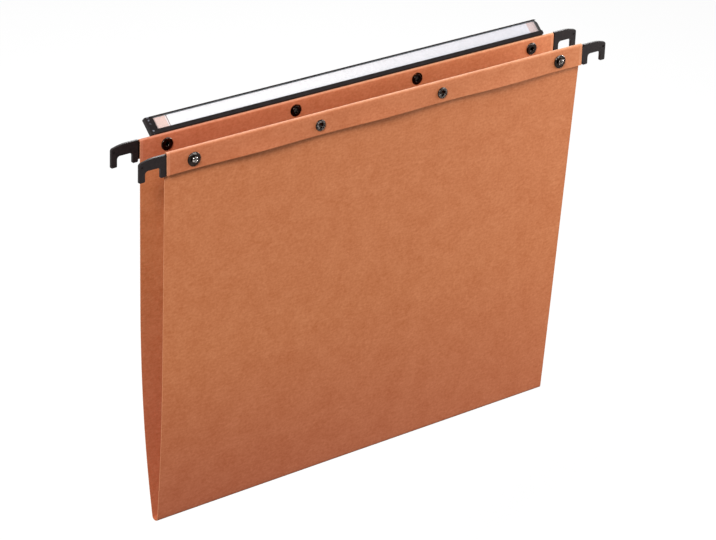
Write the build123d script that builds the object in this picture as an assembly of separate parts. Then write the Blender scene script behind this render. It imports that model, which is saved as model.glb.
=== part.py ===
"""A hanging file folder of kraft card.

Two panels meet at a fold at the bottom. The top of each panel is folded over into a hem round a steel bar,
and a hook at each end of each hem hangs on a rail. Studs, sockets and eyelets hold the hems together, and a
label holder leans back along the top of the rear hem.

X runs along the hems from rail to rail, -Y is the front and Z is up. The origin is midway between the rails and
between the hems, level with the seats where the hooks rest. Lengths are in millimetres.
"""
import os
from math import atan2, cos, hypot, radians, sin, tan

from build123d import *

# Rails and the hooks that hang on them
rail_spacing = 330.0
rail_slot = 10.4
slot_corner = 2.0
inner_leg = 3.8
outer_leg = 4.0
leg_past_hem = 0.5
leg_round = 0.8
hook_thickness = 1.8
hook_edge = 0.3
hook_below_hem = 1.05
shoulder_length = 7.2
shoulder_drop = 1.8
shoulder_round = 30.0
shoulder_corner = 1.8
front_hook_shift = 0.9
dimple_radius = 0.75
dimple_depth = 0.4
dimple_inset = 2.0
dimple_height = 2.6
neck = 1.0
tang_thickness = 1.0
tang_past_stud = 10.8
tang_bottom_gap = 1.4
tang_top_gap = 0.9

# Card panels, hems and the fold
folder_height = 240.5
seat_to_top = 7.9
hem_height = 13.9
rear_hem_drop = 1.2
pocket_width = 23.5
card = 0.4
side_taper = 3.35
fold_shift = -0.6
front_curve_height = 100.0
rear_curve_height = 130.0
front_lean_left = 1.1
front_lean_right = 2.4
rear_lean_left = -0.3
rear_lean_right = 0.6
fold_y = -1.2
fold_radius = 2.0
fold_overlap = 0.15
fold_clearance = 0.1

# Steel bars inside the hems
bar_thickness = 0.8
bar_end_inset = 5.0
bar_bottom_gap = 0.6
bar_top_gap = 0.5

# Studs, sockets and eyelets
end_fastener_inset = 18.2
fastener_drop = 7.6
front_eyelet_shift = -2.0
shank_radius = 1.7
shank_bore_radius = 1.25
shank_bore_depth = 2.6
shank_clearance = 0.05
hole_clearance = 0.1
post_flange_radius = 3.9
post_flange = 0.7
post_round = 0.4
stud_flange_radius = 4.3
stud_flange = 0.6
stud_radius = 2.0
stud_height = 1.45
stud_round = 0.7
stud_dimple_radius = 0.8
stud_dimple_depth = 0.4
stud_dimple_round = 0.2
stud_cavity = 1.05
socket_body_radius = 3.0
socket_height = 1.8
socket_bore_radius = 2.05
socket_bore_depth = 1.5
socket_cavity = 0.4
eyelet_bore_radius = 1.7
eyelet_wall = 0.4
eyelet_flange_radius = 3.5
eyelet_flange = 0.8
eyelet_round = 0.5
eyelet_roll = 0.5
eyelet_roll_radius = 2.7
washer_radius = 3.8
washer = 0.4
rim_round = 0.2

# Label holder, label strip and clear window
holder_slope = 42.0
holder_end_inset = 7.9
holder_shift = 1.1
holder_face = 11.2
holder_rise = 1.5
holder_floor = 1.0
holder_lip = 0.8
lower_lip = 2.7
upper_lip = 0.9
lower_wall = 1.4
upper_wall = 0.5
end_block = 5.3
left_corner = 0.5
right_corner = 3.0
right_foot_corner = 1.2
face_round = 0.4
skirt = 1.2
skirt_bottom_gap = 1.5
holder_clearance = 0.05
label_thickness = 0.3
window_thickness = 0.7
slide_gap = 0.05
strip_side_gap = 0.1
strip_end_gap = 0.1
label_end_inset = 1.7
window_end_inset = 0.2

# Places along X, measured outwards from the middle
seat_x = rail_spacing / 2
slot_in = seat_x - rail_slot / 2
slot_out = seat_x + rail_slot / 2
hook_in = slot_in - inner_leg
hook_out = slot_out + outer_leg
hem_half = hook_in - neck
fold_half = hem_half - side_taper
bar_half = hem_half - bar_end_inset
stud_x = hem_half - end_fastener_inset
eyelet_x = stud_x / 3
tang_end = stud_x - tang_past_stud
holder_left = holder_shift - hem_half + holder_end_inset
holder_right = holder_shift + hem_half - holder_end_inset

# Heights
hem_top = seat_to_top
hem_bottom = hem_top - hem_height
fold_axis_z = hem_top - folder_height + fold_radius
fastener_z = hem_top - fastener_drop

# Layers of a hem, measured outwards from the middle of the pocket
hem_inner = pocket_width / 2
bar_inner = hem_inner + card
tang_inner = bar_inner + bar_thickness
flap_inner = tang_inner + tang_thickness
hem_outer = flap_inner + card
crown_radius = (hem_outer - hem_inner) / 2
skirt_inner = hem_outer + holder_clearance
skirt_outer = skirt_inner + skirt

shank_hole = shank_radius + hole_clearance
eyelet_tube = eyelet_bore_radius + eyelet_wall
eyelet_hole = eyelet_tube + hole_clearance
channel_depth = label_thickness + window_thickness + 3 * slide_gap
holder_depth = holder_floor + channel_depth + holder_lip
strip_width = holder_face - lower_wall - upper_wall - 2 * strip_side_gap

FRONT = -1
REAR = 1
LEFT = -1
RIGHT = 1
SIDES = {"front": FRONT, "rear": REAR}
ENDS = {"left": LEFT, "right": RIGHT}
LEANS = {FRONT: (front_lean_left, front_lean_right), REAR: (rear_lean_left, rear_lean_right)}
CURVES = {FRONT: front_curve_height, REAR: rear_curve_height}
CROWNS = {FRONT: hem_top - crown_radius, REAR: hem_top - rear_hem_drop - crown_radius}
EYELET_SHIFTS = {FRONT: front_eyelet_shift, REAR: 0.0}
HOOK_SHIFTS = {FRONT: front_hook_shift, REAR: 0.0}


def disc(x, side, start, end, radius):
    """A cylinder across the hem at one fastener, from start to end outwards from the pocket."""
    place = Pos(x, side * start, fastener_z) * Rot(-90 * side, 0, 0)
    return place * Cylinder(radius, end - start, align=(Align.CENTER, Align.CENTER, Align.MIN))


def slab(outline, side, start, end):
    """An outline drawn in X and Z, given thickness from start to end outwards from the pocket."""
    back = max(side * start, side * end)
    return extrude(Plane.XZ.offset(-back) * outline, amount=end - start)


def block(x_from, x_to, z_from, z_to):
    """A rectangle in X and Z between two corners."""
    return Pos((x_from + x_to) / 2, (z_from + z_to) / 2) * Rectangle(abs(x_to - x_from), z_to - z_from)


def round_edges(solid, edges, radius):
    """Round some edges of a solid."""
    return fillet(edges, radius) if radius > 0 else solid


def eyelet_place(side, end):
    """An eyelet's place along X."""
    return end * eyelet_x + EYELET_SHIFTS[side]


def fastener_places(side):
    """Each fastener's place along X on one side, with the radius of its hole."""
    places = [(end * stud_x, shank_hole) for end in ENDS.values()]
    places += [(eyelet_place(side, end), eyelet_hole) for end in ENDS.values()]
    return places


def hem_section(side):
    """Section of a hem in Y and Z: the sheet behind the bar, the fold over the top and the flap in front."""
    def at(outwards, z):
        return (side * outwards, z)

    crown = (hem_inner + hem_outer) / 2
    crown_z = CROWNS[side]
    inner_crown = crown_radius - card
    outline = [
        Line(at(hem_outer, hem_bottom), at(hem_outer, crown_z)),
        ThreePointArc(at(hem_outer, crown_z), at(crown, crown_z + crown_radius), at(hem_inner, crown_z)),
        Line(at(hem_inner, crown_z), at(hem_inner, hem_bottom)),
        Line(at(hem_inner, hem_bottom), at(bar_inner, hem_bottom)),
        Line(at(bar_inner, hem_bottom), at(bar_inner, crown_z)),
        ThreePointArc(at(bar_inner, crown_z), at(crown, crown_z + inner_crown), at(flap_inner, crown_z)),
        Line(at(flap_inner, crown_z), at(flap_inner, hem_bottom)),
        Line(at(flap_inner, hem_bottom), at(hem_outer, hem_bottom)),
    ]
    return make_face(Curve() + outline)


def sheet_section(side, lean_degrees):
    """Section of a sheet in Y and Z below its hem: a leaning straight run, then an arc in to the fold.

    The rear sheet runs into the trough of the fold. The front one stops just outside the trough's edge.
    """
    half = card / 2
    middle = hem_inner + half
    lean = radians(lean_degrees)
    height = CURVES[side]
    curve_top = fold_axis_z + height
    start = middle - (hem_bottom - curve_top) * tan(lean)
    fold_offset = fold_radius - half if side == REAR else fold_radius + fold_clearance + half
    inward = start - (side * fold_y + fold_offset)
    turn = 2 * (atan2(inward, height) - lean)
    radius = hypot(inward, height) / (2 * sin(turn / 2))

    def on_curve(offset, angle):
        reach = radius + offset
        outwards = start - radius * cos(lean) + reach * cos(lean + angle)
        return (side * outwards, curve_top + radius * sin(lean) - reach * sin(lean + angle))

    inner_top = (side * hem_inner, hem_bottom)
    outer_top = (side * bar_inner, hem_bottom)
    outline = [
        Line(outer_top, inner_top),
        Line(inner_top, on_curve(-half, 0)),
        ThreePointArc(on_curve(-half, 0), on_curve(-half, turn / 2), on_curve(-half, turn)),
        Line(on_curve(-half, turn), on_curve(half, turn)),
        ThreePointArc(on_curve(half, turn), on_curve(half, turn / 2), on_curve(half, 0)),
        Line(on_curve(half, 0), outer_top),
    ]
    return make_face(Curve() + outline)


def fold_trough():
    """The rounded bottom of the fold: half a tube, with a little more where the rear sheet runs into it."""
    tube = Cylinder(fold_radius, 2 * hem_half) - Cylinder(fold_radius - card, 2 * hem_half)
    tube = Pos(0, fold_y, fold_axis_z) * Rot(0, 90, 0) * tube
    lower = block(-hem_half, hem_half, fold_axis_z - 2 * fold_radius, fold_axis_z + fold_overlap)
    return tube & slab(lower, REAR, -hem_inner, hem_inner)


def panel_outline():
    """The panel seen from the front: full width along the hem, a little narrower at the fold."""
    low = fold_axis_z - 2 * fold_radius
    high = hem_top + card
    corners = [(hem_half, high), (hem_half, hem_bottom), (fold_shift + fold_half, low)]
    corners += [(fold_shift - fold_half, low), (-hem_half, hem_bottom), (-hem_half, high)]
    return make_face(Polyline(*corners, close=True))


def panel(side):
    """A panel with its hem, punched for the fasteners. The rear one carries the trough of the fold."""
    ends = [Plane.YZ.offset(end * hem_half) * sheet_section(side, lean)
            for end, lean in zip((LEFT, RIGHT), LEANS[side])]
    sheet = loft(ends, ruled=True) + extrude(Plane.YZ * hem_section(side), amount=hem_half, both=True)
    if side == REAR:
        sheet = sheet + fold_trough()
    reach = hem_outer + 2 * card
    sheet = sheet & slab(panel_outline(), side, -reach, reach)
    for x, hole in fastener_places(side):
        sheet = sheet - disc(x, side, hem_inner - card, hem_outer + card, hole)
    return sheet


def bar(side):
    """The steel strip inside a hem."""
    outline = block(-bar_half, bar_half, hem_bottom + bar_bottom_gap, CROWNS[side] - bar_top_gap)
    strip = slab(outline, side, bar_inner, tang_inner)
    for x, hole in fastener_places(side):
        strip = strip - disc(x, side, hem_inner, hem_outer, hole)
    return strip


def hook_outline():
    """The right-hand hook seen from the front: a sloping shoulder, and the slot that drops over the rail."""
    low = hem_bottom - leg_past_hem
    high = hem_top - hook_below_hem
    shoulder = (hook_out - shoulder_length, high)
    corner = (hook_out, high - shoulder_drop)
    plate = make_face(Polyline((hook_in, low), (hook_in, high), shoulder, corner, (hook_out, low), close=True))
    plate = fillet(plate.vertices().sort_by_distance(corner)[0], shoulder_corner)
    plate = fillet(plate.vertices().sort_by_distance(shoulder)[0], shoulder_round)
    slot = block(slot_in, slot_out, 2 * hem_bottom, 0)
    slot = fillet(slot.vertices().sort_by(Axis.Y)[-2:], slot_corner)
    plate = plate - slot
    return fillet(plate.vertices().sort_by(Axis.Y)[:4], leg_round)


def hook(side, end):
    """A hook with the thin tang that the end stud holds inside the hem."""
    plate = slab(hook_outline(), side, flap_inner - hook_thickness, flap_inner)
    rim = plate.edges().group_by(Axis.Y)
    plate = round_edges(plate, rim[0] + rim[-1], hook_edge)
    dimple = Pos(hook_out - dimple_inset, 0, dimple_height) * Rot(90, 0, 0) * Cylinder(dimple_radius, hook_out)
    core = slab(block(hook_in, hook_out, 2 * hem_bottom, hem_top), side,
                flap_inner - hook_thickness + dimple_depth, flap_inner - dimple_depth)
    plate = plate - (dimple - core)
    tang_reach = (slot_in + hook_in) / 2
    tang = block(tang_end, tang_reach, hem_bottom + tang_bottom_gap, CROWNS[side] - tang_top_gap)
    shape = plate + slab(tang, side, tang_inner, flap_inner)
    shape = shape if end == RIGHT else mirror(shape, Plane.YZ)
    shape = Pos(HOOK_SHIFTS[side], 0, 0) * shape
    return shape - disc(end * stud_x, side, hem_inner, hem_outer, shank_hole)


def post(x, side, seat, cavity):
    """The hollow rivet pushed through the hem from inside the pocket, up to a cap on the outside."""
    flange = disc(x, side, hem_inner - post_flange, hem_inner, post_flange_radius)
    shank = disc(x, side, hem_inner - post_flange / 2, seat + cavity - shank_clearance, shank_radius)
    bore = disc(x, side, hem_inner - 2 * post_flange, hem_inner + shank_bore_depth, shank_bore_radius)
    shape = flange + shank - bore
    rims = shape.edges().group_by(Axis.Y)[0 if side == REAR else -1]
    return round_edges(shape, rims, post_round)


def stud(x):
    """The press stud on the outside of the front hem."""
    top = hem_outer + stud_flange + stud_height
    flange = disc(x, FRONT, hem_outer, hem_outer + stud_flange, stud_flange_radius)
    flange = round_edges(flange, flange.edges().group_by(Axis.Y)[0], rim_round)
    ball = disc(x, FRONT, hem_outer, top, stud_radius)
    ball = round_edges(ball, ball.edges().group_by(Axis.Y)[0], stud_round)
    ball = ball - disc(x, FRONT, top - stud_dimple_depth, top + card, stud_dimple_radius)
    dimple_rim = ball.edges().group_by(Axis.Y)[0].sort_by(SortBy.RADIUS)[0]
    ball = round_edges(ball, dimple_rim, stud_dimple_round)
    cavity = disc(x, FRONT, hem_outer - card, hem_outer + stud_cavity, shank_radius + shank_clearance)
    return flange + ball - cavity


def socket(x):
    """The press socket on the outside of the rear hem, behind the label holder's skirt."""
    top = skirt_outer + stud_flange + socket_height
    flange = disc(x, REAR, skirt_outer, skirt_outer + stud_flange, stud_flange_radius)
    flange = round_edges(flange, flange.edges().group_by(Axis.Y)[-1], rim_round)
    body = disc(x, REAR, skirt_outer, top, socket_body_radius)
    body = round_edges(body, body.edges().group_by(Axis.Y)[-1], rim_round)
    shape = flange + body
    shape = shape - disc(x, REAR, skirt_outer - card, skirt_outer + socket_cavity, shank_radius + shank_clearance)
    return shape - disc(x, REAR, top - socket_bore_depth, top + card, socket_bore_radius)


def eyelet(x, side, seat):
    """An open eyelet: a flange outside, a tube through the hem and a rolled end inside."""
    inside = hem_inner - washer - eyelet_roll
    flange = disc(x, side, seat, seat + eyelet_flange, eyelet_flange_radius)
    tube = disc(x, side, inside, seat + eyelet_flange, eyelet_tube)
    roll = disc(x, side, inside, hem_inner - washer, eyelet_roll_radius)
    bore = disc(x, side, inside - card, seat + 2 * eyelet_flange, eyelet_bore_radius)
    shape = flange + tube + roll - bore
    rims = shape.edges().group_by(Axis.Y)
    outside = rims[-1] if side == REAR else rims[0]
    shape = round_edges(shape, outside, eyelet_round)
    rims = shape.edges().group_by(Axis.Y)
    rolled = rims[0] if side == REAR else rims[-1]
    return round_edges(shape, rolled, rim_round)


def eyelet_washer(x, side):
    """The ring that the eyelet's end is rolled over, against the inside of the hem."""
    ring = disc(x, side, hem_inner - washer, hem_inner, washer_radius)
    return ring - disc(x, side, hem_inner - 2 * washer, hem_inner + card, eyelet_hole)


def holder_plane():
    """The sloping face of the label holder: X along the hem, Y up the slope, Z out of the face."""
    tilt = radians(holder_slope)
    along = crown_radius + holder_clearance
    y = (hem_inner + hem_outer) / 2 + along * cos(tilt) - holder_rise * sin(tilt)
    z = CROWNS[REAR] + along * sin(tilt) + holder_rise * cos(tilt)
    return Plane(origin=(0, y, z), x_dir=(1, 0, 0), z_dir=(0, -sin(tilt), cos(tilt)))


def brick(x_from, x_to, up_from, up_to, depth_from, depth_to):
    """A box in the label holder's own directions; depth is measured down from its face."""
    size = Box(x_to - x_from, up_to - up_from, depth_to - depth_from)
    return Pos((x_from + x_to) / 2, (up_from + up_to) / 2, -(depth_from + depth_to) / 2) * size


def label_holder():
    """The black holder: a sloping tray, closed at the left, and the skirt that hangs behind the rear hem."""
    tray = brick(holder_left, holder_right, 0, holder_face, 0, holder_depth)
    upright = tray.edges().filter_by(Axis.Z).group_by(Axis.X)
    tray = fillet(upright[0], left_corner)
    right_top = tray.edges().filter_by(Axis.Z).group_by(Axis.X)[-1].sort_by(Axis.Y)[-1]
    tray = fillet(right_top, right_corner)
    right_foot = tray.edges().filter_by(Axis.Z).group_by(Axis.X)[-1].sort_by(Axis.Y)[0]
    tray = fillet(right_foot, right_foot_corner)
    tray = round_edges(tray, tray.faces().sort_by(Axis.Z)[-1].edges(), face_round)
    block_end = holder_left + end_block
    past = holder_right + end_block
    channel = brick(block_end, past, lower_wall, holder_face - upper_wall, holder_lip, holder_lip + channel_depth)
    opening = brick(block_end, past, lower_lip, holder_face - upper_lip, -holder_lip, holder_lip + channel_depth / 2)
    tray = holder_plane() * (tray - channel - opening)
    tilt = radians(holder_slope)
    foot = holder_plane().origin
    gap_y = foot.Y - skirt_inner
    corner_z = foot.Z + gap_y / sin(tilt) * cos(tilt)
    under_y = foot.Y + holder_depth * sin(tilt)
    under_z = foot.Z - holder_depth * cos(tilt) + (skirt_outer - under_y) / cos(tilt) * sin(tilt)
    low = hem_bottom + skirt_bottom_gap
    inside = holder_floor / 2
    corners = [(skirt_inner, low), (skirt_outer, low), (skirt_outer, under_z)]
    corners += [(skirt_outer + inside * cos(tilt), under_z + inside), (skirt_inner, corner_z)]
    strip = make_face(Polyline(*corners, close=True))
    skirt_half = (holder_right - holder_left) / 2 - right_corner
    hanging = extrude(Plane.YZ.offset(holder_shift) * strip, amount=skirt_half, both=True)
    shape = tray + hanging
    for x, hole in fastener_places(REAR):
        shape = shape - disc(x, REAR, hem_outer - card, skirt_outer + card, hole)
    return shape


def strip_in_holder(thickness, depth, end_inset):
    """A strip lying in the holder's channel, from its closed end to short of its open end, where it follows the
    holder's rounded corner."""
    left = holder_left + end_block + strip_end_gap
    low = lower_wall + strip_side_gap
    strip = brick(left, holder_right - end_inset, low, low + strip_width, depth, depth + thickness)
    corner = strip.edges().filter_by(Axis.Z).group_by(Axis.X)[-1].sort_by(Axis.Y)[-1]
    return holder_plane() * fillet(corner, right_corner - end_inset)


def folder():
    """Every piece by name."""
    pieces = {}
    for side_name, side in SIDES.items():
        pieces[f"{side_name}_panel"] = panel(side)
        pieces[f"{side_name}_bar"] = bar(side)
        for end_name, end in ENDS.items():
            name = f"{side_name}_{end_name}"
            pieces[f"{name}_hook"] = hook(side, end)
            seat = hem_outer if side == FRONT else skirt_outer
            if side == FRONT:
                pieces[f"{name}_stud"] = stud(end * stud_x)
                pieces[f"{name}_stud_post"] = post(end * stud_x, side, seat, stud_cavity)
            else:
                pieces[f"{name}_socket"] = socket(end * stud_x)
                pieces[f"{name}_socket_post"] = post(end * stud_x, side, seat, socket_cavity)
            pieces[f"{name}_eyelet"] = eyelet(eyelet_place(side, end), side, seat)
            pieces[f"{name}_eyelet_washer"] = eyelet_washer(eyelet_place(side, end), side)
    pieces["label_holder"] = label_holder()
    window_depth = holder_lip + slide_gap
    label_depth = window_depth + window_thickness + slide_gap
    pieces["label_window"] = strip_in_holder(window_thickness, window_depth, window_end_inset)
    pieces["label_strip"] = strip_in_holder(label_thickness, label_depth, label_end_inset)
    return pieces


os.makedirs("parts", exist_ok=True)
for piece_name, piece in folder().items():
    export_step(piece, f"parts/{piece_name}.step")
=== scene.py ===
# %% [markdown]
# # A hanging file folder of kraft card
#
# This lesson dresses a finished model of a hanging file folder. The model already has every hard piece at its
# true size: hooks, bars, studs, eyelets, sockets and the label holder. What is left is what a camera sees: the
# folded card, the finish of each material, the light and the view. Lengths are in metres, +Z is up and the front
# of the folder faces -Y.

# %% Load the model
import math

import bmesh
import bpy
from mathutils import Matrix, Vector, noise


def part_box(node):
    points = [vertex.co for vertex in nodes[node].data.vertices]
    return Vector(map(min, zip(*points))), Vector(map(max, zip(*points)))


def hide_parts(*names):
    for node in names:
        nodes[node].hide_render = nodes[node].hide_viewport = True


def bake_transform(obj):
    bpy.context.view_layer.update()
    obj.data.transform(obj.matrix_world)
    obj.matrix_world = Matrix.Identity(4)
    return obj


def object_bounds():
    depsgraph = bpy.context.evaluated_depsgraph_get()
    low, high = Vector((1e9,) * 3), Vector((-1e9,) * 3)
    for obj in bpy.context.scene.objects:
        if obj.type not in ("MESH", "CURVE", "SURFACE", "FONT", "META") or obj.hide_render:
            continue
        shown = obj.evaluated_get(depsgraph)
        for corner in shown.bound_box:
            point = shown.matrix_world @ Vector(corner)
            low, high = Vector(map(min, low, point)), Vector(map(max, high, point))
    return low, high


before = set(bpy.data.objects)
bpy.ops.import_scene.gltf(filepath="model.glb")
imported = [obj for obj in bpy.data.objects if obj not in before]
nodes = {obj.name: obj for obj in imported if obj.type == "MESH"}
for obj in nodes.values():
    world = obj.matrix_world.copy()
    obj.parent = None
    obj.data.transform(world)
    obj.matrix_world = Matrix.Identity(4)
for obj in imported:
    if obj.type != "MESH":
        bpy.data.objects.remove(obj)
model_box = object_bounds()
MM = 0.001
print("pieces in the model:", len(nodes))

# %% [markdown]
# ## The view
#
# The folder is seen from its front left and from above, through a long lens, as in a catalogue picture. A long
# lens a good way off keeps the edges nearly parallel. The camera could be turned by hand until it fits, but it is
# clearer to build its axes from three angles and step back from the point that it looks at.

# %% Camera
VIEW_AZIMUTH = math.radians(39.31)
VIEW_ELEVATION = math.radians(25.08)
VIEW_ROLL = math.radians(2.23)
VIEW_DISTANCE = 1803.5 * MM
AIM = Vector((-4.55, -0.965, -108.19)) * MM
FOCAL_PIXELS = 3000
FRAME_PIXELS = 716
SENSOR_WIDTH = 36
FAR_CLIP = 50

ahead = Vector((math.sin(VIEW_AZIMUTH) * math.cos(VIEW_ELEVATION),
                math.cos(VIEW_AZIMUTH) * math.cos(VIEW_ELEVATION), -math.sin(VIEW_ELEVATION)))
level = Vector((math.cos(VIEW_AZIMUTH), -math.sin(VIEW_AZIMUTH), 0))
above = level.cross(ahead)
right = math.cos(VIEW_ROLL) * level + math.sin(VIEW_ROLL) * above
up = math.cos(VIEW_ROLL) * above - math.sin(VIEW_ROLL) * level

bpy.ops.object.camera_add()
camera = bpy.context.object
camera.data.sensor_width = SENSOR_WIDTH
camera.data.lens = FOCAL_PIXELS / FRAME_PIXELS * SENSOR_WIDTH
camera.data.clip_end = FAR_CLIP
turned = Matrix((right, up, -ahead)).transposed().to_4x4()
camera.matrix_world = Matrix.Translation(AIM - VIEW_DISTANCE * ahead) @ turned
bpy.context.scene.camera = camera
print("camera at", [round(c, 3) for c in camera.matrix_world.translation], "lens", round(camera.data.lens, 1))

# %% [markdown]
# ## Helpers for materials
#
# Colours are written as they look on a screen, in hex, and turned to the linear values that shaders work with.
# One function adds a shader node, sets its values and joins its inputs, so that a material reads as a list.


# %% Colour and node helpers
def linear(hex_colour):
    """An sRGB hex colour as a linear RGBA tuple."""
    parts = [int(hex_colour[i:i + 2], 16) / 255 for i in (1, 3, 5)]
    return tuple(c / 12.92 if c <= 0.04045 else ((c + 0.055) / 1.055) ** 2.4 for c in parts) + (1.0,)


def add(tree, kind, values=None, links=None, **settings):
    """Add a node, set its settings and input values, and link other nodes' outputs to its inputs."""
    node = tree.nodes.new(kind)
    for name, value in settings.items():
        setattr(node, name, value)
    for name, value in (values or {}).items():
        node.inputs[name].default_value = value
    for name, source in (links or {}).items():
        tree.links.new(source, node.inputs[name])
    return node


def new_material(name, finish):
    """A material with only its Principled shader, set to a finish, its output and its Object coordinates."""
    material = bpy.data.materials.new(name)
    material.use_nodes = True
    tree = material.node_tree
    tree.nodes.clear()
    shader = add(tree, "ShaderNodeBsdfPrincipled", finish)
    add(tree, "ShaderNodeOutputMaterial", links={"Surface": shader.outputs["BSDF"]})
    where = add(tree, "ShaderNodeTexCoord").outputs["Object"]
    return material, tree, shader, where


def set_stops(ramp, stops):
    """Give a colour ramp its two stops: pairs of a place from 0 to 1 and a hex colour."""
    for element, (place, colour) in zip(ramp.color_ramp.elements, stops):
        element.position = place
        element.color = linear(colour)


def per_mm(size_mm):
    """The texture scale at which one feature is about this many millimetres across."""
    return 1 / (size_mm * MM)


print("mid grey on a screen is", round(linear("#808080")[0], 3), "in linear light")

# %% [markdown]
# ## Kraft card
#
# The panels are dyed kraft card of about 240 grams: long fibres, pressed smooth between steel rolls. To the eye
# that is a warm orange brown with a cloudy fleck a few millimetres across, finer fibre marks, and a dull sheen
# where it bends. One flat colour would look like plastic, and a texture laid on the sheet would show a seam at the
# crease. Noise at three sizes, in the sheet's own coordinates, makes the cloud, the fleck and the fibres without
# one. Real fibres are too fine to show here, so they are drawn about a millimetre wide.

# %% Card: cloud, fleck and fibres
CLOUD_MM = 12
FLECK_MM = 1.6
FIBRE_MM = (3.5, 1.0, 1.0)
FIBRE_LIE = math.radians(28)
FIBRE_SHARE = 0.4
CLOUD_SHARE = 0.25

card_material, tree, shader, where = new_material("dyed_kraft_card", {"Roughness": 0.6, "Specular IOR Level": 0.2})
cloud = add(tree, "ShaderNodeTexNoise", {"Scale": per_mm(CLOUD_MM), "Detail": 2.0}, {"Vector": where})
fleck = add(tree, "ShaderNodeTexNoise", {"Scale": per_mm(FLECK_MM), "Detail": 3.0, "Roughness": 0.6},
            {"Vector": where})
lie = add(tree, "ShaderNodeMapping",
          {"Rotation": (0, FIBRE_LIE, 0), "Scale": tuple(per_mm(size) for size in FIBRE_MM)}, {"Vector": where})
fibre = add(tree, "ShaderNodeTexNoise", {"Scale": 1.0, "Detail": 2.0}, {"Vector": lie.outputs["Vector"]})
mottle = add(tree, "ShaderNodeMix", {"Factor": FIBRE_SHARE},
             {"A": fleck.outputs["Fac"], "B": fibre.outputs["Fac"]})
mottle = add(tree, "ShaderNodeMix", {"Factor": CLOUD_SHARE},
             {"A": mottle.outputs["Result"], "B": cloud.outputs["Fac"]})
tones = add(tree, "ShaderNodeValToRGB", links={"Fac": mottle.outputs["Result"]})
set_stops(tones, [(0.325, "#ba6a3e"), (0.675, "#d2865a")])
print("card: cloud", CLOUD_MM, "mm, fleck", FLECK_MM, "mm, fibres", FIBRE_MM[0], "by", FIBRE_MM[1], "mm")

# %% [markdown]
# Use marks the card where it is touched and bent. The last two millimetres at the ends of each hem are rubbed paler
# by handling. The crown of each hem is paler too: partly rubbed by handling, partly a painted highlight where light
# falls on the top of the fold. The card is also painted darker towards the left on the hems, and down towards the
# crease, where it starts higher up on the rear half, whose inner face shows: that is painted shade. These marks
# follow the folder's shape, so they are worked out from the place of each point instead of from an image.

# %% Card: hems rubbed at the ends, crowns rubbed and with a painted highlight
CROWN_TOP = 7.9 * MM
REAR_DROP = 1.2 * MM
HEM_BOTTOM = -6.0 * MM
HEM_HALF = 155 * MM
CROWN_PALE_BAND = 0.8 * MM
CROWN_WEAR_AND_HIGHLIGHT = 1.4
END_RUB = 2 * MM
END_WEAR = 0.2

place = add(tree, "ShaderNodeSeparateXYZ", links={"Vector": where})
rear = add(tree, "ShaderNodeMath", {1: 0.0}, {0: place.outputs["Y"]}, operation="GREATER_THAN")
level_z = add(tree, "ShaderNodeMath", {1: REAR_DROP}, {0: rear.outputs["Value"], 2: place.outputs["Z"]},
              operation="MULTIPLY_ADD")
crown_wear_and_highlight = add(tree, "ShaderNodeMapRange",
           {"From Min": CROWN_TOP - CROWN_PALE_BAND, "From Max": CROWN_TOP, "To Min": 0.0, "To Max": CROWN_WEAR_AND_HIGHLIGHT},
           {"Value": level_z.outputs["Value"]})
wear_and_highlight = add(tree, "ShaderNodeMath", links={0: crown_wear_and_highlight.outputs["Result"], 1: mottle.outputs["Result"]},
             operation="MULTIPLY")
hem = add(tree, "ShaderNodeMath", {1: HEM_BOTTOM}, {0: place.outputs["Z"]}, operation="GREATER_THAN")
across = add(tree, "ShaderNodeMath", links={0: place.outputs["X"]}, operation="ABSOLUTE")
tip = add(tree, "ShaderNodeMath", {1: HEM_HALF - END_RUB}, {0: across.outputs["Value"]},
          operation="GREATER_THAN")
tip = add(tree, "ShaderNodeMath", links={0: tip.outputs["Value"], 1: hem.outputs["Value"]},
          operation="MULTIPLY")
wear_and_highlight = add(tree, "ShaderNodeMath", {1: END_WEAR}, {0: tip.outputs["Value"], 2: wear_and_highlight.outputs["Value"]},
             operation="MULTIPLY_ADD", use_clamp=True)
# Paler colour: real rubbing at the ends of the hems, and along the crowns partly rubbing and partly a painted
# highlight.
colour = add(tree, "ShaderNodeMix", {"B": linear("#f0b48c")},
             {"Factor": wear_and_highlight.outputs["Value"], "A": tones.outputs["Color"]}, data_type="RGBA")
# The crown band printed here is partly rubbing and partly a painted highlight.
print("hems rubbed over the top", round(CROWN_PALE_BAND / MM, 1), "mm and the last", round(END_RUB / MM, 1), "mm")

# %% Card: painted shade, to the left and towards the crease
FRONT_SHARE = 0.5
RIGHT_SHARE = 0.6
SHADE_FROM = -125 * MM
SHADE_FULL = -230 * MM
REAR_RISE = -60 * MM

# Painted shade: darker towards the left on the hems, most on the rear hem, and darker towards the crease, from
# higher up on the rear half.
leftward = add(tree, "ShaderNodeMapRange",
               {"From Min": -HEM_HALF, "From Max": HEM_HALF, "To Min": 1.0, "To Max": 0.0},
               {"Value": place.outputs["X"]})
hem_shade = add(tree, "ShaderNodeMapRange", {"To Min": FRONT_SHARE, "To Max": 1.0},
              {"Value": rear.outputs["Value"]})
hem_shade = add(tree, "ShaderNodeMath", links={0: hem_shade.outputs["Result"], 1: hem.outputs["Value"]},
              operation="MULTIPLY")
hem_shade = add(tree, "ShaderNodeMath", links={0: hem_shade.outputs["Value"], 1: leftward.outputs["Result"]},
              operation="MULTIPLY")
shade_z = add(tree, "ShaderNodeMath", {1: REAR_RISE}, {0: rear.outputs["Value"], 2: place.outputs["Z"]},
            operation="MULTIPLY_ADD")
low_shade = add(tree, "ShaderNodeMapRange",
            {"From Min": SHADE_FROM, "From Max": SHADE_FULL, "To Min": 0.0, "To Max": 1.0},
            {"Value": shade_z.outputs["Value"]})
aside = add(tree, "ShaderNodeMapRange", {"To Min": RIGHT_SHARE, "To Max": 1.0},
            {"Value": leftward.outputs["Result"]})
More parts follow.
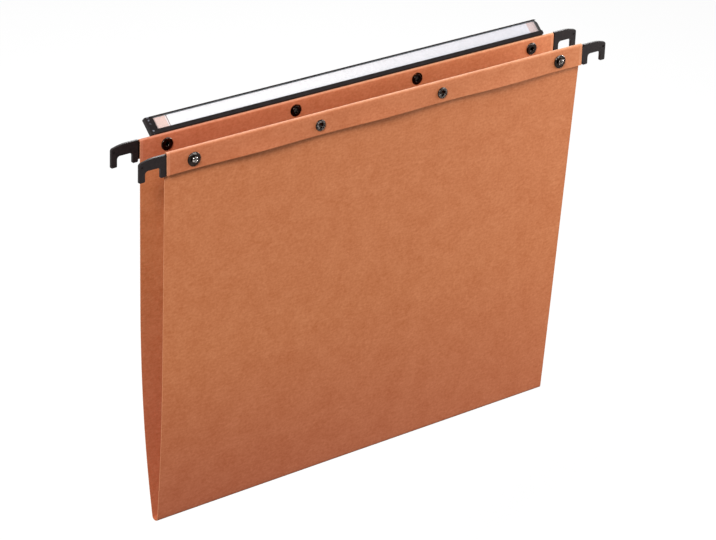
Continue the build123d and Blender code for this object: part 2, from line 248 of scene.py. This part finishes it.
low_shade = add(tree, "ShaderNodeMath", links={0: low_shade.outputs["Result"], 1: aside.outputs["Result"]},
            operation="MULTIPLY")
painted_shade = add(tree, "ShaderNodeMath", links={0: hem_shade.outputs["Value"], 1: low_shade.outputs["Value"]},
           operation="MAXIMUM")
# Multiplies the painted shade into the card colour.
colour = add(tree, "ShaderNodeMix", {"B": linear("#efdae8")},
             {"Factor": painted_shade.outputs["Value"], "A": colour.outputs["Result"]},
             data_type="RGBA", blend_type="MULTIPLY")
tree.links.new(colour.outputs["Result"], shader.inputs["Base Color"])
# The printed heights are where the painted shade starts, in front and behind.
print("dye deepens from", round(SHADE_FROM / MM), "mm in front and", round((SHADE_FROM - REAR_RISE) / MM), "mm behind")

# %% [markdown]
# The end of the bar inside each hem presses a faint line through the card, and the fibres stand up a little. Both
# are far thinner than the sheet, so they are left to a bump in the material. The cut edge has no pressed skin and
# shows the paler core, so it gets a material of its own.

# %% Card: press mark and relief
BAR_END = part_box("front_bar")[1].x
PRESS_INSET = 0.5 * MM
PRESS_HALF = 0.8 * MM
PRESS_HEIGHT = 0.5

off = add(tree, "ShaderNodeMath", {1: BAR_END - PRESS_INSET}, {0: across.outputs["Value"]}, operation="SUBTRACT")
off = add(tree, "ShaderNodeMath", links={0: off.outputs["Value"]}, operation="ABSOLUTE")
ridge = add(tree, "ShaderNodeMapRange",
            {"From Min": 0.0, "From Max": PRESS_HALF, "To Min": PRESS_HEIGHT, "To Max": 0.0},
            {"Value": off.outputs["Value"]}, interpolation_type="SMOOTHSTEP")
ridge = add(tree, "ShaderNodeMath", links={0: ridge.outputs["Result"], 1: hem.outputs["Value"]},
            operation="MULTIPLY")
height = add(tree, "ShaderNodeMath", links={0: ridge.outputs["Value"], 1: mottle.outputs["Result"]},
             operation="ADD")
bump = add(tree, "ShaderNodeBump", {"Strength": 0.35, "Distance": 0.15 * MM},
           {"Height": height.outputs["Value"]})
tree.links.new(bump.outputs["Normal"], shader.inputs["Normal"])
print("card:", card_material.name, len(tree.nodes), "nodes")

# %% Cut edge of the card
EDGE_GRAIN_MM = 1.2

edge_material, tree, shader, where = new_material("cut_edge_of_kraft_card", {"Roughness": 0.9})
grain = add(tree, "ShaderNodeTexNoise", {"Scale": per_mm(EDGE_GRAIN_MM), "Detail": 3.0}, {"Vector": where})
tones = add(tree, "ShaderNodeValToRGB", links={"Fac": grain.outputs["Fac"]})
set_stops(tones, [(0.3, "#c07a50"), (0.7, "#d2916a")])
tree.links.new(tones.outputs["Color"], shader.inputs["Base Color"])
print("edge:", edge_material.name)

# %% [markdown]
# ## The card itself
#
# One sheet makes the whole folder. At each top it is turned outwards over a steel bar and glued down as a hem, and
# at the bottom it is creased. Two separate plates would do, but a single sheet shows the real crease and can bend
# there. Each half starts as a grid of small cells standing upright. Its top edge is spun half a turn for the crown
# of the hem and drawn down as the flap. The lower part is then leaned and curved in towards the crease: that is a
# bend that changes from the left end to the right, so it is set point by point. The sheet also keeps the slight
# waves of card that has hung, and the flap of the front hem stands off a little between the rivets that hold it
# down.

# %% Card sizes
# A pair in brackets is for the left and right ends. The front half is -1 and the rear half is 1. Leans are in
# degrees.
CARD = 0.4 * MM
SHEET_Y = 11.95 * MM
CROWN_Y = 13.05 * MM
CROWNS = {-1: 6.6 * MM, 1: 5.4 * MM}
FLAP_BOTTOM = -5.7 * MM
FOLD_Y = -1.2 * MM
FOLD_Z = -230.6 * MM
FOLD_ENDS = (-152.2 * MM, 151.0 * MM)
FOLD_WIDTHS = (2.5 * MM, 0.6 * MM)
FOLD_DEPTH = 1.78 * MM
CURVES = {-1: 100 * MM, 1: 130 * MM}
LEANS = {-1: (1.1, 2.5), 1: (-0.3, 0.6)}
COLUMNS = 62
ROWS = 76
FLAP_ROWS = 6
CROWN_STEPS = 10
TOUCH = 0.01 * MM
print("card from", round((FOLD_Z - FOLD_DEPTH) / MM, 1), "to", round(CROWN_TOP / MM, 1), "mm")


# %% Selecting and editing
def pick(piece, test):
    """In edit mode, select the points whose place passes the test, with the edges and faces between them."""
    bpy.ops.mesh.select_mode(type="VERT")
    bpy.ops.mesh.select_all(action="DESELECT")
    edit = bmesh.from_edit_mesh(piece.data)
    for point in edit.verts:
        point.select_set(test(point.co))
    edit.select_flush(True)
    bmesh.update_edit_mesh(piece.data)


def upright_half(side):
    """One half of the sheet, still flat below its hem."""
    bpy.ops.object.select_all(action="DESELECT")
    crown = CROWNS[side]
    middle = (0, side * SHEET_Y, (crown + FOLD_Z) / 2)
    bpy.ops.mesh.primitive_grid_add(x_subdivisions=COLUMNS, y_subdivisions=ROWS, size=1, location=middle,
                                    rotation=(math.pi / 2, 0, 0))
    half = bpy.context.object
    half.scale = (2 * HEM_HALF, crown - FOLD_Z, 1)
    bpy.ops.object.transform_apply(location=True, rotation=True, scale=True)
    bpy.ops.object.mode_set(mode="EDIT")
    pick(half, lambda p: p.z > crown - TOUCH)
    bpy.ops.mesh.spin(steps=CROWN_STEPS, angle=side * math.pi, center=(0, side * CROWN_Y, crown), axis=(1, 0, 0))
    drop = (crown - FLAP_BOTTOM) / FLAP_ROWS
    for _ in range(FLAP_ROWS):
        bpy.ops.mesh.extrude_region_move(TRANSFORM_OT_translate={"value": (0, 0, -drop)})
    bpy.ops.object.mode_set(mode="OBJECT")
    top = max(p.co.z for p in half.data.vertices)
    print("half", side, "top", round(top / MM, 2), "mm, points", len(half.data.vertices))
    return half


halves = {side: upright_half(side) for side in (-1, 1)}


# %% Curve of the sheet below the hem
def sheet_place(side, end, z):
    """How far out one end of the sheet lies at a height: a straight lean, then an arc in to the crease."""
    lean = math.radians(LEANS[side][end])
    height = CURVES[side]
    curve_top = FOLD_Z + height
    if z > curve_top:
        return SHEET_Y - (HEM_BOTTOM - z) * math.tan(lean)
    start = SHEET_Y - (HEM_BOTTOM - curve_top) * math.tan(lean)
    inward = start - (side * FOLD_Y + FOLD_WIDTHS[end])
    bend = 2 * (math.atan2(inward, height) - lean)
    radius = math.hypot(inward, height) / (2 * math.sin(bend / 2))
    centre_z = curve_top + radius * math.sin(lean)
    reach = math.copysign(math.sqrt(radius ** 2 - (centre_z - z) ** 2), radius)
    return start - radius * math.cos(lean) + reach


def between(ends, along):
    """A value part of the way from the left end's to the right end's."""
    return ends[0] + (ends[1] - ends[0]) * along


print("left end at mid height: front", round(sheet_place(-1, 0, FOLD_Z / 2) / MM, 2), "mm out, rear",
      round(sheet_place(1, 0, FOLD_Z / 2) / MM, 2), "mm out")

# %% Bending the sheet below the hem
# The hem pulls the sheet in between its ends: fully by 1/26 of the way down, and no more from 1/2.2 of it. A point
# further out than FLAP_OUT from the middle of the crown is on the flap.
PULL = 0.6 * MM
PULL_RISE = 26
PULL_FADE = 2.2
WAVE = 0.22 * MM
WAVE_ACROSS = 75 * MM
WAVE_DOWN = 90 * MM
WAVE_APART = 3.1
STAND_OFF = 1.0 * MM
RIVET_STEP = 91.2 * MM
FLAP_OUT = 1.05 * MM
SHEET_SLACK = 0.1 * MM


def shape_half(half, side):
    """Lean, curve and wave the sheet below its hem, narrow it to the crease, and let the front flap stand off."""
    for point in half.data.vertices:
        x, y, z = point.co
        along = 0.5 + x / (2 * HEM_HALF)
        if side == -1 and y < -CROWN_Y - FLAP_OUT:
            hang = max(0, CROWNS[side] - z) / (CROWNS[side] - FLAP_BOTTOM)
            point.co.y -= STAND_OFF * hang ** 2 * (0.5 + 0.5 * math.cos(2 * math.pi * x / RIVET_STEP))
        if z > HEM_BOTTOM - TOUCH or abs(y) > SHEET_Y + SHEET_SLACK:
            continue
        down = (HEM_BOTTOM - z) / (HEM_BOTTOM - FOLD_Z)
        out = between([sheet_place(side, end, z) for end in (0, 1)], along)
        middle = 1 - (2 * along - 1) ** 4
        out -= PULL * middle * min(1, PULL_RISE * down) * max(0, 1 - PULL_FADE * down) ** 2
        ripple = noise.noise(Vector((x / WAVE_ACROSS, side * WAVE_APART, z / WAVE_DOWN)))
        out += WAVE * ripple * math.sin(math.pi * down)
        point.co = (x + (between(FOLD_ENDS, along) - x) * down, side * out, z)


for side, half in halves.items():
    shape_half(half, side)
    low = [p.co for p in half.data.vertices if p.co.z < FOLD_Z + TOUCH]
    print("half", side, "meets the crease from y", round(min(p.y for p in low) / MM, 2), "to",
          round(max(p.y for p in low) / MM, 2), "mm")

# %% [markdown]
# The two halves become one sheet: the front half's lowest edge is spun half a turn about the crease, and where it
# meets the rear half the doubled points are merged. The crease is wider at the left end than at the right, so the
# half turn is pressed to one depth all along. Only then does the sheet get its thickness, with the cut edge in its
# own material. Eight holes are punched through the hems for the rivets. The finished sheet stands for both panels
# of the model, which are hidden.

# %% Crease
CREASE_STEPS = 8
MERGE = 0.02 * MM

bpy.ops.object.select_all(action="DESELECT")
for half in halves.values():
    half.select_set(True)
card = halves[-1]
bpy.context.view_layer.objects.active = card
bpy.ops.object.join()
card.name = card.data.name = "folder_card"

bpy.ops.object.mode_set(mode="EDIT")
pick(card, lambda p: p.z < FOLD_Z + TOUCH and p.y < FOLD_Y)
bpy.ops.mesh.spin(steps=CREASE_STEPS, angle=math.pi, center=(0, FOLD_Y, FOLD_Z), axis=(-1, 0, 0))
bpy.ops.mesh.select_all(action="SELECT")
bpy.ops.mesh.remove_doubles(threshold=MERGE)
bpy.ops.mesh.normals_make_consistent(inside=False)
bpy.ops.object.mode_set(mode="OBJECT")
for point in card.data.vertices:
    if point.co.z < FOLD_Z:
        along = (point.co.x - FOLD_ENDS[0]) / (FOLD_ENDS[1] - FOLD_ENDS[0])
        point.co.z = FOLD_Z + (point.co.z - FOLD_Z) * FOLD_DEPTH / between(FOLD_WIDTHS, along)
print("lowest", round(min(p.co.z for p in card.data.vertices) / MM, 2), "mm")

# %% Thickness
card.data.materials.append(card_material)
card.data.materials.append(edge_material)
thicken = card.modifiers.new("thickness", "SOLIDIFY")
thicken.thickness = CARD
thicken.offset = 0
thicken.material_offset_rim = 1
bpy.ops.object.modifier_apply(modifier=thicken.name)
print("card is", round(CARD / MM, 2), "mm thick, points", len(card.data.vertices))

# %% Rivet holes
HOLE_RADII = {"_eyelet": 2.2 * MM, "_post": 1.8 * MM}
PUNCH_LENGTH = 8 * MM
PUNCH_SIDES = 32

punches = []
for name in nodes:
    radius = next((size for ending, size in HOLE_RADII.items() if name.endswith(ending)), None)
    if radius:
        low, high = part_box(name)
        middle = ((low.x + high.x) / 2, math.copysign(CROWN_Y, low.y), (low.z + high.z) / 2)
        bpy.ops.mesh.primitive_cylinder_add(vertices=PUNCH_SIDES, radius=radius, depth=PUNCH_LENGTH,
                                            location=middle, rotation=(math.pi / 2, 0, 0))
        punches.append(bpy.context.object)
print("holes punched:", len(punches))

bpy.ops.object.select_all(action="DESELECT")
for punch in punches:
    punch.select_set(True)
punch = punches[0]
bpy.context.view_layer.objects.active = punch
bpy.ops.object.join()
bpy.context.view_layer.objects.active = card
holes = card.modifiers.new("rivet_holes", "BOOLEAN")
holes.object = punch
holes.operation = "DIFFERENCE"
holes.solver = "EXACT"
bpy.ops.object.modifier_apply(modifier=holes.name)
bpy.data.objects.remove(punch)

# %% The card in the model's place
SMOOTH_BELOW = math.radians(35)

bpy.ops.object.select_all(action="DESELECT")
card.select_set(True)
bpy.ops.object.shade_smooth_by_angle(angle=SMOOTH_BELOW)
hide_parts("front_panel", "rear_panel")
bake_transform(card)
print("card faces:", len(card.data.polygons))

# %% [markdown]
# ## Black plastics and metals
#
# The hooks are moulded nylon with a satin skin, the label holder is a glossier moulded polystyrene, the studs and
# eyelets are blackened brass, and the bars inside the hems are rolled steel strip. One black for all would do from
# far off, but close up each has its own gloss and a grain of its own size: a moulded stipple, a faint flow mark,
# small scuffs on the blackened metal, and the long scratches of rolling. The real stipple and scratches are too
# fine to show, so they are drawn coarser. Near its closed end the holder has grey spots: a painted highlight on its
# rounded end. On the domes of the studs, which press into sockets, and on the upper rims, which papers slide over,
# the black gives way to bright metal in spots: partly wear, partly painted glints.

# %% Hook nylon
STIPPLE_MM = 0.9

nylon, tree, shader, where = new_material("moulded_black_nylon",
                                          {"Roughness": 0.4, "IOR": 1.53, "Specular IOR Level": 0.12})
stipple = add(tree, "ShaderNodeTexNoise", {"Scale": per_mm(STIPPLE_MM), "Detail": 3.0}, {"Vector": where})
tones = add(tree, "ShaderNodeValToRGB", links={"Fac": stipple.outputs["Fac"]})
set_stops(tones, [(0.3, "#1a1515"), (0.7, "#272020")])
tree.links.new(tones.outputs["Color"], shader.inputs["Base Color"])
bump = add(tree, "ShaderNodeBump", {"Strength": 0.15, "Distance": 0.05 * MM},
           {"Height": stipple.outputs["Fac"]})
tree.links.new(bump.outputs["Normal"], shader.inputs["Normal"])
print("hooks:", nylon.name)

# %% Holder polystyrene
FLOW_MM = 8
HOLDER_GLOSS = (0.12, 0.2)
SPOT_MM = 2.4
SPOT_RANGE = (0.46, 0.58)
GLEAM_FROM_END = 2.0 * MM
GLEAM_HALF = 0.6 * MM

polystyrene, tree, shader, where = new_material("moulded_black_polystyrene",
                                                {"IOR": 1.59, "Specular IOR Level": 0.12})
flow = add(tree, "ShaderNodeTexNoise", {"Scale": per_mm(FLOW_MM), "Detail": 4.0}, {"Vector": where})
tones = add(tree, "ShaderNodeValToRGB", links={"Fac": flow.outputs["Fac"]})
set_stops(tones, [(0.3, "#171212"), (0.7, "#221b1b")])
place = add(tree, "ShaderNodeSeparateXYZ", links={"Vector": where})
# Grey spots in a band near the closed end: a painted highlight on the holder's rounded end.
band = add(tree, "ShaderNodeMath", {1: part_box("label_holder")[0].x + GLEAM_FROM_END, 2: GLEAM_HALF},
           {0: place.outputs["X"]}, operation="COMPARE")
spots = add(tree, "ShaderNodeTexNoise", {"Scale": per_mm(SPOT_MM), "Detail": 1.0}, {"Vector": where})
spots = add(tree, "ShaderNodeMapRange", {"From Min": SPOT_RANGE[0], "From Max": SPOT_RANGE[1]},
            {"Value": spots.outputs["Fac"]})
painted_gleam = add(tree, "ShaderNodeMath", links={0: band.outputs["Value"], 1: spots.outputs["Result"]},
              operation="MULTIPLY")
colour = add(tree, "ShaderNodeMix", {"B": linear("#787a84")},
             {"Factor": painted_gleam.outputs["Value"], "A": tones.outputs["Color"]}, data_type="RGBA")
tree.links.new(colour.outputs["Result"], shader.inputs["Base Color"])
gloss = add(tree, "ShaderNodeMapRange", {"To Min": HOLDER_GLOSS[0], "To Max": HOLDER_GLOSS[1]},
            {"Value": flow.outputs["Fac"]})
tree.links.new(gloss.outputs["Result"], shader.inputs["Roughness"])
print("holder:", polystyrene.name)

# %% Blackened brass
BRASS_SCUFF_MM = 1.0
BRASS_GLOSS = (0.06, 0.16)
STUD_FACE = -15.0 * MM
DOME_WEAR_AND_GLINT = 0.4 * MM
RIM_LOW = 2.6 * MM
RIM_WEAR_AND_GLINT = 1.0 * MM

brass, tree, shader, where = new_material("blackened_brass", {"Metallic": 1.0})
scuff = add(tree, "ShaderNodeTexNoise", {"Scale": per_mm(BRASS_SCUFF_MM), "Detail": 5.0}, {"Vector": where})
tones = add(tree, "ShaderNodeValToRGB", links={"Fac": scuff.outputs["Fac"]})
set_stops(tones, [(0.4, "#241e1b"), (0.8, "#453b36")])
# Bright metal in spots on the stud domes and the upper rims: partly wear, partly painted glints.
bare_metal_glint = add(tree, "ShaderNodeValToRGB", links={"Fac": scuff.outputs["Fac"]})
set_stops(bare_metal_glint, [(0.5, "#38312e"), (0.66, "#d8d1cb")])
place = add(tree, "ShaderNodeSeparateXYZ", links={"Vector": where})
dome = add(tree, "ShaderNodeMapRange", {"From Min": STUD_FACE, "From Max": STUD_FACE - DOME_WEAR_AND_GLINT},
           {"Value": place.outputs["Y"]})
rim = add(tree, "ShaderNodeMapRange", {"From Min": RIM_LOW, "From Max": RIM_LOW + RIM_WEAR_AND_GLINT},
          {"Value": place.outputs["Z"]})
wear_and_highlight = add(tree, "ShaderNodeMath", links={0: dome.outputs["Result"], 1: rim.outputs["Result"]},
             operation="MAXIMUM")
colour = add(tree, "ShaderNodeMix", links={"Factor": wear_and_highlight.outputs["Value"], "A": tones.outputs["Color"],
                                           "B": bare_metal_glint.outputs["Color"]}, data_type="RGBA")
tree.links.new(colour.outputs["Result"], shader.inputs["Base Color"])
gloss = add(tree, "ShaderNodeMapRange", {"To Min": BRASS_GLOSS[0], "To Max": BRASS_GLOSS[1]},
            {"Value": scuff.outputs["Fac"]})
tree.links.new(gloss.outputs["Result"], shader.inputs["Roughness"])
print("fasteners:", brass.name)

# %% Rolled steel
SCRATCH_MM = (40, 0.6, 0.6)

steel, tree, shader, where = new_material("rolled_steel_strip", {"Metallic": 1.0, "Roughness": 0.38})
along = add(tree, "ShaderNodeMapping", {"Scale": tuple(per_mm(size) for size in SCRATCH_MM)}, {"Vector": where})
lines = add(tree, "ShaderNodeTexNoise", {"Scale": 1.0, "Detail": 4.0}, {"Vector": along.outputs["Vector"]})
tones = add(tree, "ShaderNodeValToRGB", links={"Fac": lines.outputs["Fac"]})
set_stops(tones, [(0.3, "#8d8e90"), (0.7, "#b9babd")])
tree.links.new(tones.outputs["Color"], shader.inputs["Base Color"])
print("bars:", steel.name)

# %% [markdown]
# ## Label and window
#
# The label is a strip of plain white paper with a pale orange field at each end and a thin rule beside the left
# one. They are printed, so they are drawn in the material, by the distance along the strip, and slide with the
# paper. A colour ramp could draw them, but its steps would be over a millimetre wide on a strip this long, so each
# has a test of its own. Towards its open end the paper is painted a little greyer, as painted shade.

# %% Label paper
FIELD_LEFT = 8.9 * MM
RULE_GAP = 0.4 * MM
RULE = 0.7 * MM
FIELD_RIGHT = 6.6 * MM
TOOTH_MM = 1.6
LABEL_SHADE_FROM = 0.4

label_low, label_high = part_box("label_strip")
paper, tree, shader, where = new_material("printed_label_paper", {"Roughness": 0.7})
place = add(tree, "ShaderNodeSeparateXYZ", links={"Vector": where})
field = add(tree, "ShaderNodeMath", {1: label_low.x + FIELD_LEFT}, {0: place.outputs["X"]},
            operation="LESS_THAN")
printed = add(tree, "ShaderNodeMix", {"A": linear("#f0eff1"), "B": linear("#dfb8aa")},
              {"Factor": field.outputs["Value"]}, data_type="RGBA")
rule = add(tree, "ShaderNodeMath", {1: label_low.x + FIELD_LEFT + RULE_GAP + RULE / 2, 2: RULE / 2},
           {0: place.outputs["X"]}, operation="COMPARE")
printed = add(tree, "ShaderNodeMix", {"B": linear("#94756c")},
              {"Factor": rule.outputs["Value"], "A": printed.outputs["Result"]}, data_type="RGBA")
field = add(tree, "ShaderNodeMath", {1: label_high.x - FIELD_RIGHT}, {0: place.outputs["X"]},
            operation="GREATER_THAN")
printed = add(tree, "ShaderNodeMix", {"B": linear("#e2c2b8")},
              {"Factor": field.outputs["Value"], "A": printed.outputs["Result"]}, data_type="RGBA")
tooth = add(tree, "ShaderNodeTexNoise", {"Scale": per_mm(TOOTH_MM), "Detail": 3.0}, {"Vector": where})
tint = add(tree, "ShaderNodeValToRGB", links={"Fac": tooth.outputs["Fac"]})
set_stops(tint, [(0.3, "#f4f3f3"), (0.7, "#ffffff")])
colour = add(tree, "ShaderNodeMix", {"Factor": 1.0},
             {"A": printed.outputs["Result"], "B": tint.outputs["Color"]},
             data_type="RGBA", blend_type="MULTIPLY")
along = add(tree, "ShaderNodeMapRange", {"From Min": label_low.x, "From Max": label_high.x},
            {"Value": place.outputs["X"]})
# Painted shade: the paper darker towards its open end.
label_shade = add(tree, "ShaderNodeMapRange", {"From Min": LABEL_SHADE_FROM, "From Max": 1.0},
           {"Value": along.outputs["Result"]})
colour = add(tree, "ShaderNodeMix", {"B": linear("#dcdce3")},
             {"Factor": label_shade.outputs["Result"], "A": colour.outputs["Result"]},
             data_type="RGBA", blend_type="MULTIPLY")
tree.links.new(colour.outputs["Result"], shader.inputs["Base Color"])
print("label is", round((label_high.x - label_low.x) / MM, 1), "mm long")

# %% [markdown]
# The window over the label is a clear strip of polystyrene with a black grip at the open end. Real refraction would
# cut off the light that falls on the label, so a mostly see-through shader with a gloss stands for it. Along its
# two long edges the strip is painted greyer and less clear: painted shade for the dark look that bent light gives
# the edges of clear plastic, so that its outline shows when it is drawn out.

# %% Clear window
GRIP = 1.8 * MM
WINDOW_WIDTH = 9.1 * MM
EDGE = 0.4 * MM
HOLDER_SLOPE = math.radians(42)
RIPPLE_MM = 14
WINDOW_GLOSS = (0.05, 0.12)
CLEAR = 0.12
EDGE_SOLID = 0.9

window_low, window_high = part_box("label_window")
up_slope = Vector((0, math.cos(HOLDER_SLOPE), math.sin(HOLDER_SLOPE)))
window, tree, shader, where = new_material("clear_polystyrene", {"IOR": 1.59})
ripple = add(tree, "ShaderNodeTexNoise", {"Scale": per_mm(RIPPLE_MM), "Detail": 1.0}, {"Vector": where})
gloss = add(tree, "ShaderNodeMapRange", {"To Min": WINDOW_GLOSS[0], "To Max": WINDOW_GLOSS[1]},
            {"Value": ripple.outputs["Fac"]})
tree.links.new(gloss.outputs["Result"], shader.inputs["Roughness"])
place = add(tree, "ShaderNodeSeparateXYZ", links={"Vector": where})
grip = add(tree, "ShaderNodeMath", {1: window_high.x - GRIP}, {0: place.outputs["X"]}, operation="GREATER_THAN")
across = add(tree, "ShaderNodeVectorMath", {1: up_slope}, {0: where}, operation="DOT_PRODUCT")
edge = add(tree, "ShaderNodeMath", {1: up_slope.dot(window_low + window_high) / 2},
           {0: across.outputs["Value"]}, operation="SUBTRACT")
edge = add(tree, "ShaderNodeMath", links={0: edge.outputs["Value"]}, operation="ABSOLUTE")
# Painted shade: the strip greyer and less clear along its two long edges.
edge = add(tree, "ShaderNodeMath", {1: WINDOW_WIDTH / 2 - EDGE}, {0: edge.outputs["Value"]},
           operation="GREATER_THAN")
colour = add(tree, "ShaderNodeMix", {"A": linear("#f2f4f6"), "B": linear("#6f7f88")},
             {"Factor": edge.outputs["Value"]}, data_type="RGBA")
colour = add(tree, "ShaderNodeMix", {"B": linear("#171212")},
             {"Factor": grip.outputs["Value"], "A": colour.outputs["Result"]}, data_type="RGBA")
tree.links.new(colour.outputs["Result"], shader.inputs["Base Color"])
solid = add(tree, "ShaderNodeMapRange", {"To Min": CLEAR, "To Max": EDGE_SOLID},
            {"Value": edge.outputs["Value"]})
solid = add(tree, "ShaderNodeMath", links={0: solid.outputs["Result"], 1: grip.outputs["Value"]},
            operation="MAXIMUM")
tree.links.new(solid.outputs["Value"], shader.inputs["Alpha"])
print("window is", round((window_high.x - window_low.x) / MM, 1), "mm long")

# %% [markdown]
# ## Dressing the model's own pieces
#
# Every hard piece keeps the shape that it has in the model, and only its finish changes. The end of each piece's
# name says what it is, so a short list of endings gives each one its material.

# %% Materials on the pieces
FINISHES = {"_hook": nylon, "_bar": steel, "_stud": brass, "_post": brass, "_socket": brass, "_eyelet": brass,
            "_washer": brass, "_holder": polystyrene, "_strip": paper, "_window": window,
            "_panel": card_material}

for name, piece in nodes.items():
    finish = next(material for ending, material in FINISHES.items() if name.endswith(ending))
    piece.data.materials.clear()
    piece.data.materials.append(finish)
print("dressed", len(nodes), "pieces")

# %% [markdown]
# ## Floor, light and background
#
# A catalogue picture like this is made over a white sweep under soft lamps. The folder hangs, so the floor lies
# well below it, with room for the front half to swing down. The floor and the room look white to the camera, in
# reflections and through clear plastic, by way of the Light Path node. Brighter lamps would also make them white,
# but they would bleach the folder, and this way the floor still darkens in its shadow.


# %% Floor
def seen_rays(tree):
    """An output that is 1 for what the camera sees, also in reflections and through clear plastic, else 0."""
    path = add(tree, "ShaderNodeLightPath")
    seen = path.outputs["Is Camera Ray"]
    for kind in ("Is Glossy Ray", "Is Transmission Ray"):
        either = add(tree, "ShaderNodeMath", links={0: seen, 1: path.outputs[kind]}, operation="MAXIMUM")
        seen = either.outputs["Value"]
    return seen


ROOM_BELOW = 250 * MM
FLOOR_SIZE = 10
FLOOR_GLOW = 0.9

bpy.ops.object.select_all(action="DESELECT")
bpy.ops.mesh.primitive_plane_add(size=FLOOR_SIZE, location=(0, 0, model_box[0].z - ROOM_BELOW))
floor = bpy.context.object
floor.name = "studio_floor"
floor_material = bpy.data.materials.new("white_sweep")
floor_material.use_nodes = True
tree = floor_material.node_tree
tree.nodes.clear()
glow = add(tree, "ShaderNodeMath", {1: FLOOR_GLOW}, {0: seen_rays(tree)}, operation="MULTIPLY")
matt = add(tree, "ShaderNodeBsdfDiffuse", {"Color": linear("#5a5a5a")})
shine = add(tree, "ShaderNodeEmission", links={"Strength": glow.outputs["Value"]})
both = add(tree, "ShaderNodeAddShader", links={0: matt.outputs["BSDF"], 1: shine.outputs["Emission"]})
add(tree, "ShaderNodeOutputMaterial", links={"Surface": both.outputs["Shader"]})
floor.data.materials.append(floor_material)
print("floor at", round(floor.location.z / MM, 1), "mm")

# %% [markdown]
# A big lamp, high on the left, gives most of the light: it leaves a soft shadow under the front hem and reaches
# into the open side of the pocket. A small low one brightens the right end of the hems. A third lights the back
# from the right, and from the front it only draws a thin bright line along the tops of the hooks. Bare bulbs would
# throw hard shadows, so each lamp is a square of light.

# %% Lamps
# Each lamp's place and width in metres, and its power in watts.
LAMPS = {"left_softbox": ((-1.56, -0.9, 1.26), 0.6, 65),
         "right_softbox": ((0.66, -0.24, 0.06), 0.3, 4.4),
         "back_softbox": ((0.86, 1.05, 0.64), 0.6, 16)}
LAMP_AIM = Vector((0, 0, -0.1))

for name, (spot, width, watts) in LAMPS.items():
    bpy.ops.object.light_add(type="AREA", location=spot)
    lamp = bpy.context.object
    lamp.name = name
    lamp.data.shape = "SQUARE"
    lamp.data.size = width
    lamp.data.energy = watts
    lamp.rotation_euler = (LAMP_AIM - Vector(spot)).to_track_quat("-Z", "Y").to_euler()
print("lamps:", len(LAMPS))

# %% Room
ROOM_FILL = 0.12
ROOM_WHITE = 1.0

world = bpy.data.worlds.new("white_room")
bpy.context.scene.world = world
world.use_nodes = True
tree = world.node_tree
tree.nodes.clear()
fill = add(tree, "ShaderNodeMapRange", {"To Min": ROOM_FILL, "To Max": ROOM_WHITE}, {"Value": seen_rays(tree)})
sky = add(tree, "ShaderNodeBackground", {"Color": linear("#ffffff")}, {"Strength": fill.outputs["Result"]})
add(tree, "ShaderNodeOutputWorld", links={"Surface": sky.outputs["Background"]})
bpy.context.scene.view_settings.view_transform = "Standard"
print("room fills the shadows with", ROOM_FILL)
